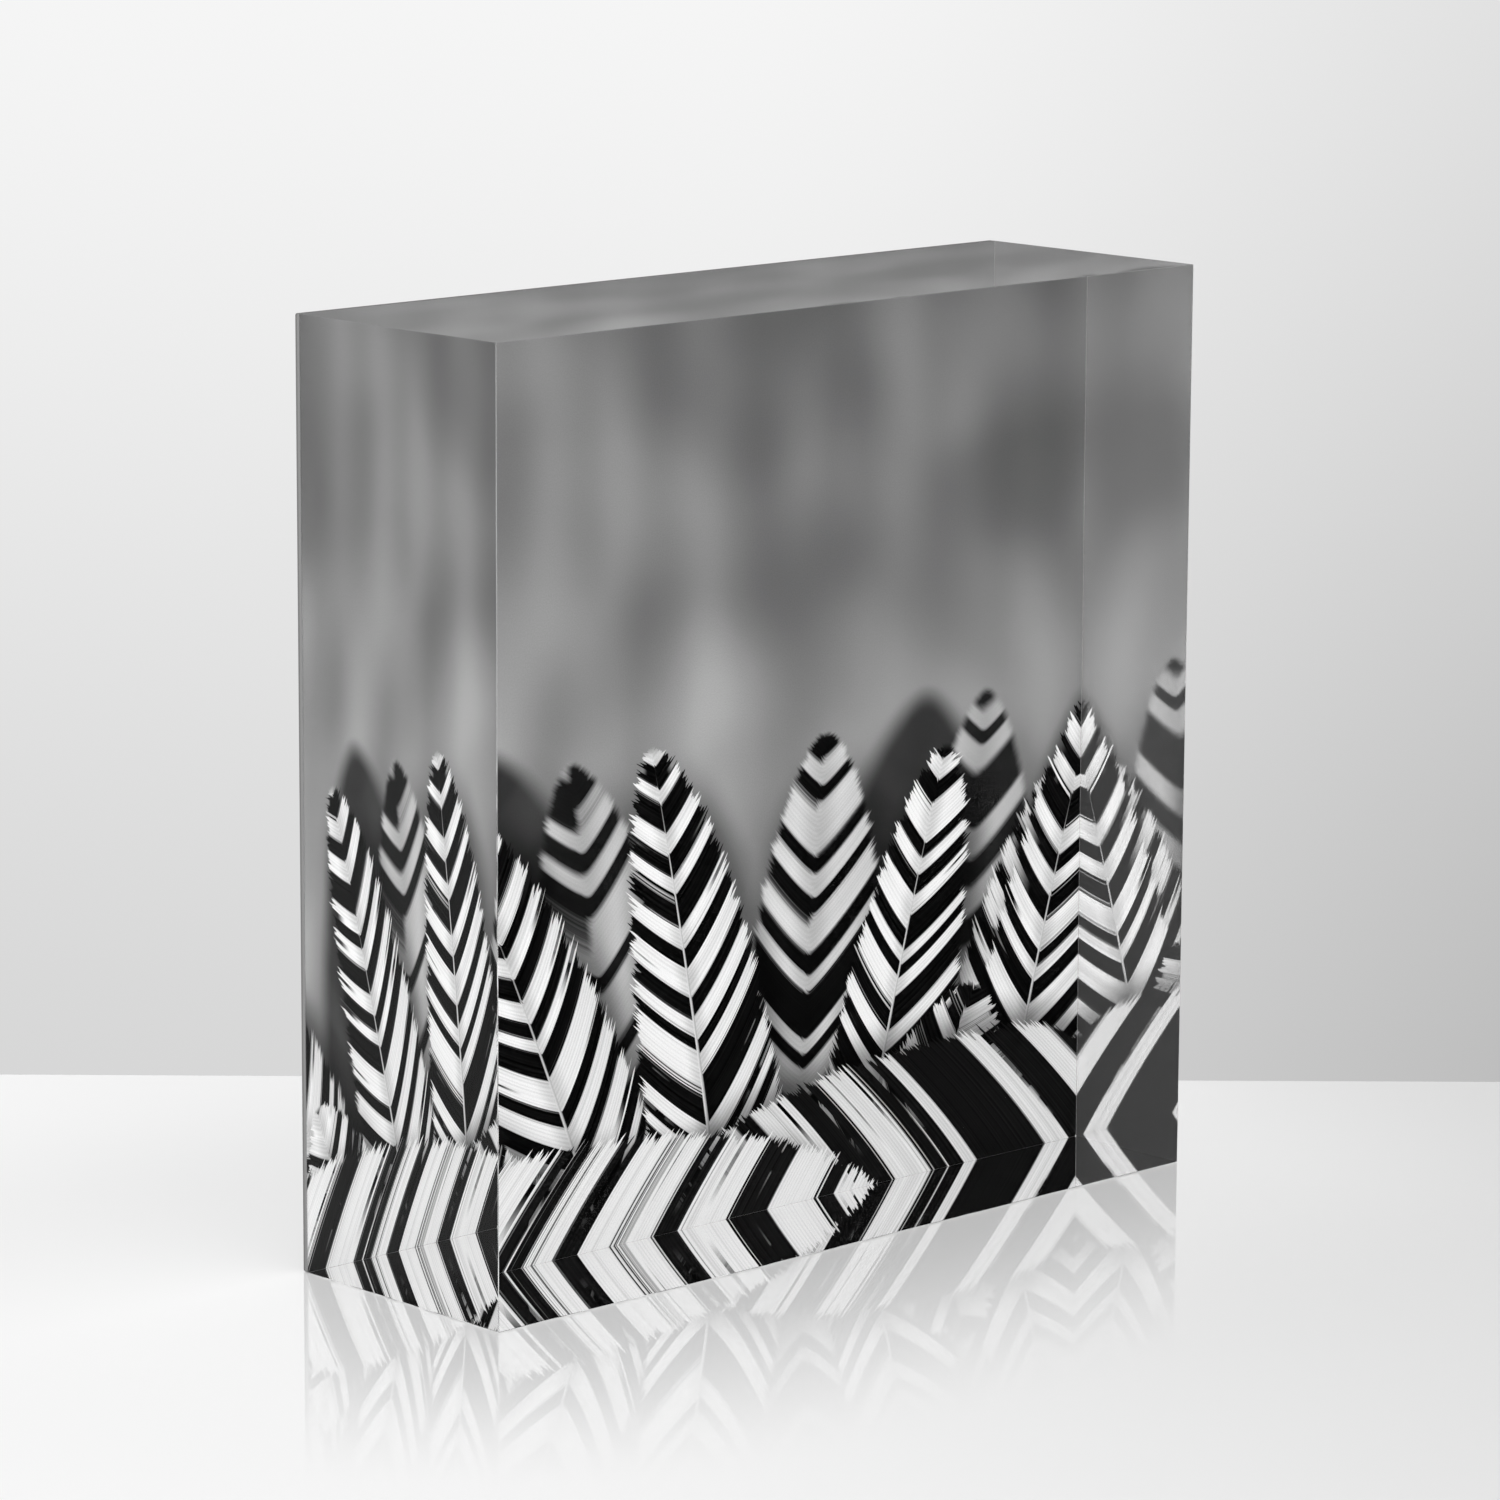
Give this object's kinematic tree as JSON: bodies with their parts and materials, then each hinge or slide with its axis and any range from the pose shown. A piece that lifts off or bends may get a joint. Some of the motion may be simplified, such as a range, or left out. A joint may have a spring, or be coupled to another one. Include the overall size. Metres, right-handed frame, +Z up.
{
  "type": "acrylic photo block",
  "caption": "Thick clear acrylic block that stands by itself and shows a photographic print bonded to its back face, sealed by a backing film.",
  "frame": {"origin": "centre of the bottom face of the whole stack, on the surface that the block stands on", "axes": "+X along the picture to the viewer's right, +Y from the front face to the back, +Z up"},
  "size_m": [0.1, 0.0308, 0.1],
  "materials": {
    "clear_acrylic": "polished clear acrylic",
    "optical_adhesive": "optically clear film",
    "print_paper": "satin photographic print in black, white and grey",
    "backing_glue": "translucent film",
    "backing_vinyl": "matt black film with a fine grain"
  },
  "bodies": {
    "root": {"acrylic_block": "clear_acrylic", "clear_adhesive": "optical_adhesive", "photo_print": "print_paper", "backing_adhesive": "backing_glue", "backing_film": "backing_vinyl"}
  },
  "joints": []
}
